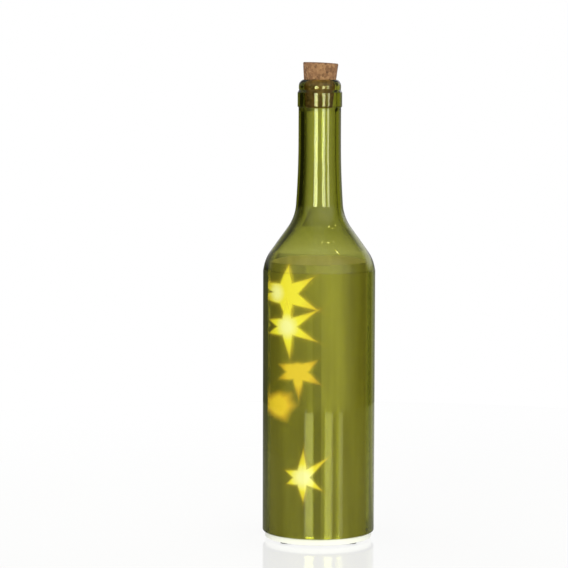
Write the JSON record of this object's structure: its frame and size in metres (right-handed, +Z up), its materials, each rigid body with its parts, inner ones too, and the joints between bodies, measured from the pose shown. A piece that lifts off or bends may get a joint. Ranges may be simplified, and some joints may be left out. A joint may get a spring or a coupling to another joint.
{
  "type": "bottle light",
  "caption": "Corked wine bottle of tinted glass on a white battery base; a rolled film inside shows each LED of the wire behind it as a glowing star.",
  "frame": {"origin": "centre of the standing plane, under the rubber feet", "axes": "+Z up along the bottle, -Y the front that the picture looks at, +X to the viewer's right"},
  "size_m": [0.073, 0.073, 0.3113],
  "materials": {
    "green_glass": "gloss",
    "cork": "matte",
    "film": "satin",
    "white_plastic": "satin",
    "silicone": "matte",
    "rubber": "matte",
    "cell_jacket": "gloss",
    "nickel": "satin",
    "board": "satin",
    "black_plastic": "satin",
    "red_plastic": "satin",
    "copper": "satin",
    "led": "gloss"
  },
  "bodies": {
    "bottle": {"bottle_glass": "green_glass", "star_film": "film", "base_housing": "white_plastic", "base_deck": "white_plastic", "glass_gasket": "silicone", "wire_grommet": "rubber", "circuit_board": "board", "timer_chip": "black_plastic", "resistor": "black_plastic", "black_lead": "black_plastic", "red_lead": "red_plastic", "switch_case": "nickel", "negative_contact": "nickel", "right_bridge_contact": "nickel", "left_bridge_contact": "nickel", "positive_contact": "nickel", "led_wire": "copper", "deck_screw_1": "nickel", "deck_screw_2": "nickel", "deck_screw_3": "nickel", "deck_screw_4": "nickel", "rubber_foot_1": "rubber", "rubber_foot_2": "rubber", "rubber_foot_3": "rubber", "rubber_foot_4": "rubber", "battery_cell_1": "cell_jacket", "battery_cell_2": "cell_jacket", "battery_cell_3": "cell_jacket", "cell_spring_1": "nickel", "cell_spring_2": "nickel", "cell_spring_3": "nickel", "led_1": "led", "led_2": "led", "led_3": "led", "led_4": "led", "led_5": "led"},
    "cork": {"cork_stopper": "cork"},
    "door": {"battery_door": "white_plastic"},
    "knob": {"switch_knob": "black_plastic"}
  },
  "joints": [
    {"name": "cork_pull", "type": "slide", "parent": "bottle", "child": "cork", "axis": [0, 0, 1], "range_m": [0, 0.05]},
    {"name": "door_swing", "type": "hinge", "parent": "bottle", "child": "door", "pos_m": [-0.026, 0, 0.0018], "axis": [0, 1, 0], "range_deg": [0, 85]},
    {"name": "knob_slide", "type": "slide", "parent": "bottle", "child": "knob", "axis": [1, 0, 0], "range_m": [0, 0.004]}
  ]
}
